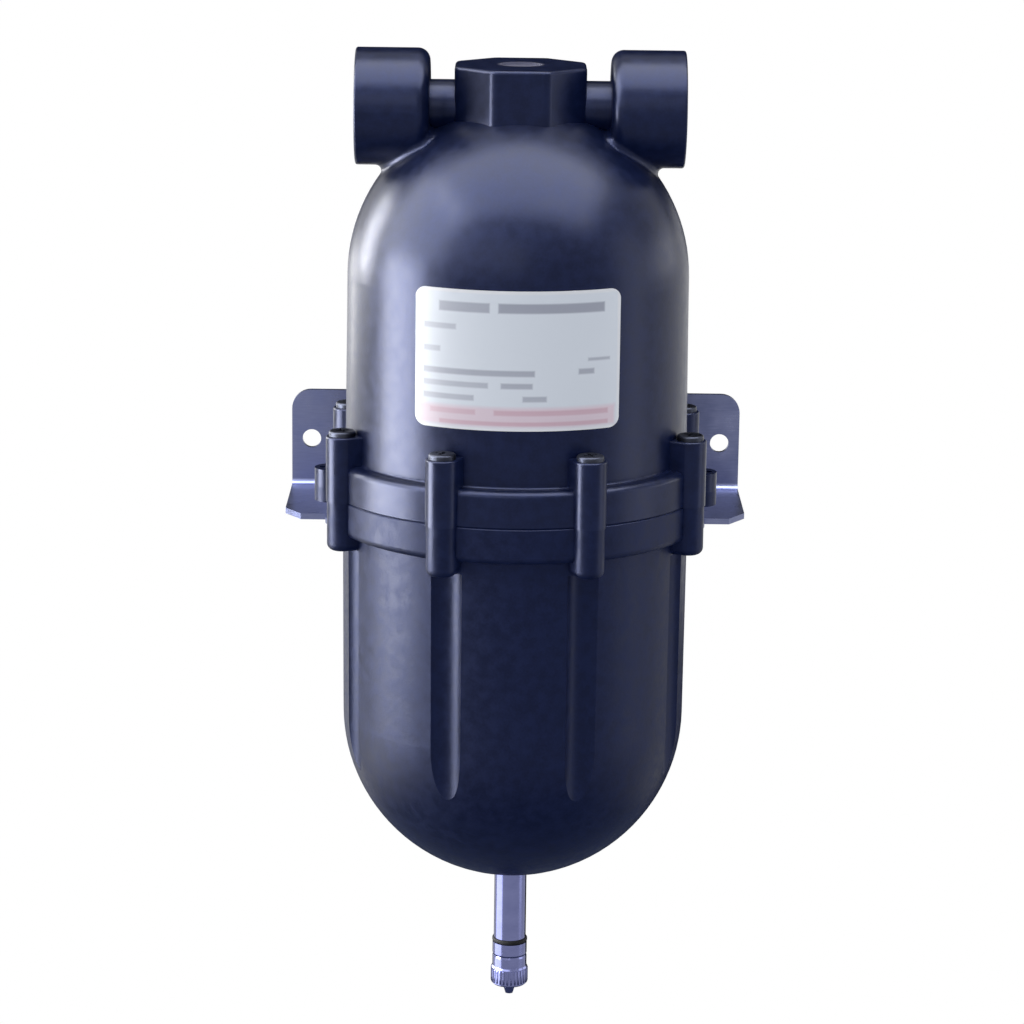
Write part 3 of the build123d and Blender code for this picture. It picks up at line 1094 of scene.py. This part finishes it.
@dataclass
class Studio:
    """Pale floor, soft lamps, white surroundings and the camera."""

    target: Vector = field(default_factory=lambda: Vector((-0.8 * MM, AXIS_Y, -6.5 * MM)))
    distance: float = 0.88
    azimuth: float = math.radians(-0.1)
    elevation: float = math.radians(13.3)
    roll: float = math.radians(0.73)
    lens: float = 123.75
    sensor: float = 36.0
    clip: Span = (0.05, 20.0)
    floor_height: float = -0.30
    floor_radius: float = 0.38
    floor_thickness: float = 0.02
    floor_edge: float = 0.006
    floor_steps: int = 128
    ambient: float = 0.55
    ambient_colour: Colour = (0.92, 0.95, 1.0)

    def boxes(self) -> list[SoftBox]:
        """The soft boxes, by their bearing from the front and their height, in degrees.

        Returns:
            The boxes.
        """
        light = Shine.LIGHT
        return [
            SoftBox("left_box", -81, -1, (0.29, 0.32), 34, distance=0.5),
            SoftBox("left_light", -80, 10, (0.95, 0.85), 1.15, light),
            SoftBox("rear_left_box", -123, 10, (0.30, 0.58), 25),
            SoftBox("rim_box", -143, -4, (0.30, 0.20), 5.5),
            SoftBox("upper_left_box", -80, 33, (1.1, 0.80), 13),
            SoftBox("upper_right_box", 112, 6, (0.75, 0.30), 2.0),
            SoftBox("front_left_box", -30, 26, (1.5, 0.5), 2.5),
            SoftBox("top_box", 0, 77, (2.4, 1.2), 10),
            SoftBox("top_light", 0, 76, (1.0, 0.9), 0.8, light),
            SoftBox("right_box", 80, 2, (0.5, 1.1), 2),
            SoftBox("valve_box", -87, -33, (0.45, 0.14), 3.5, distance=0.5),
        ]

    def flags(self) -> list[Flag]:
        """The flags behind the ports and the bowl, over the floor and beside the boss.

        Returns:
            The flags.
        """
        return [
            Flag("high_flag", (0.30, 0.40), (0, 0.25, 0.215)),
            Flag("shoulder_flag", (0.17, 0.33), (0.235, 0.25, 0.255)),
            Flag("low_flag", (0.30, 0.20), (0, 0.25, -0.190)),
            Flag("bowl_flag", (0.17, 0.17), (0.235, 0.25, -0.205)),
            Flag("floor_flag", (0.50, 0.54), (0, -0.02, -0.295), (0, 0, 0), Card.GREY),
            Flag("boss_flag", (0.011, 0.016), (-0.019, -0.0685, 0.098), (90, 0, 90)),
        ]

    def build(self) -> None:
        """Makes the floor, the flags, the lamps, the surroundings and the camera."""
        self.lay_floor()
        self.stand_flags()
        for box in self.boxes():
            box.hang(self.target)
        self.set_surroundings()
        self.place_camera()

    def lay_floor(self) -> None:
        """A round floor with a rounded edge, under the part."""
        floor = start_piece(
            "studio_floor",
            "cylinder",
            vertices=self.floor_steps,
            radius=self.floor_radius,
            depth=self.floor_thickness,
            location=(0, AXIS_Y, self.floor_height - self.floor_thickness / 2),
        )
        apply_modifier(floor, "BEVEL", width=self.floor_edge, segments=4, limit_method="ANGLE")
        bpy.ops.object.shade_smooth_by_angle(angle=SMOOTH_ANGLE)
        dress(floor, PaleFloor("pale_floor").build())

    def stand_flags(self) -> None:
        """Makes the two cards and cuts the flags from them."""
        cards = {
            Card.BLACK: MattCard(Card.BLACK.value),
            Card.GREY: MattCard(Card.GREY.value, (0.27, 0.31, 0.42), (0.24, 0.28, 0.38)),
        }
        finishes = {card: matt.build() for card, matt in cards.items()}
        for flag in self.flags():
            flag.stand(finishes[flag.card])

    def set_surroundings(self) -> None:
        """White surroundings for the eye and in reflections, and a plain soft light from them."""
        world = bpy.data.worlds.new("surroundings")
        world.use_nodes = True
        tree = world.node_tree
        tree.nodes.clear()
        paths = tree.nodes.new("ShaderNodeLightPath")
        seen = paths.outputs["Is Camera Ray"]
        for name in ("Is Glossy Ray", "Is Transmission Ray"):
            either = tree.nodes.new("ShaderNodeMath")
            either.operation = "MAXIMUM"
            tree.links.new(seen, either.inputs[0])
            tree.links.new(paths.outputs[name], either.inputs[1])
            seen = either.outputs[0]
        soft = tree.nodes.new("ShaderNodeBackground")
        soft.inputs["Color"].default_value = (*self.ambient_colour, 1.0)
        soft.inputs["Strength"].default_value = self.ambient
        white = tree.nodes.new("ShaderNodeBackground")
        white.inputs["Color"].default_value = (1.0, 1.0, 1.0, 1.0)
        white.inputs["Strength"].default_value = 1.0
        mix = tree.nodes.new("ShaderNodeMixShader")
        tree.links.new(seen, mix.inputs[0])
        tree.links.new(soft.outputs[0], mix.inputs[1])
        tree.links.new(white.outputs[0], mix.inputs[2])
        out = tree.nodes.new("ShaderNodeOutputWorld")
        tree.links.new(mix.outputs[0], out.inputs["Surface"])
        bpy.context.scene.world = world

    def place_camera(self) -> None:
        """The camera, in front of the part and a little above it."""
        data = bpy.data.cameras.new("camera")
        data.lens = self.lens
        data.sensor_width = self.sensor
        data.clip_start, data.clip_end = self.clip
        camera = bpy.data.objects.new("camera", data)
        back = outward(self.azimuth, self.elevation)
        turn = (-back).to_track_quat("-Z", "Y").to_matrix().to_4x4()
        tilt = Matrix.Rotation(self.roll, 4, "Z")
        camera.matrix_world = Matrix.Translation(self.target + back * self.distance) @ turn @ tilt
        bpy.context.scene.collection.objects.link(camera)
        bpy.context.scene.camera = camera


def main() -> None:
    """Builds the looks in order."""
    logging.basicConfig(level=logging.INFO, format="%(message)s")
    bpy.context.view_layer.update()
    for part in (Housings(), Fasteners(), WallBracket(), NameLabel(), AirValve(), Seals(), Studio()):
        log.info("%s", type(part).__name__)
        part.build()
    bpy.context.scene.view_settings.view_transform = "Standard"


if __name__ == "__main__":
    main()
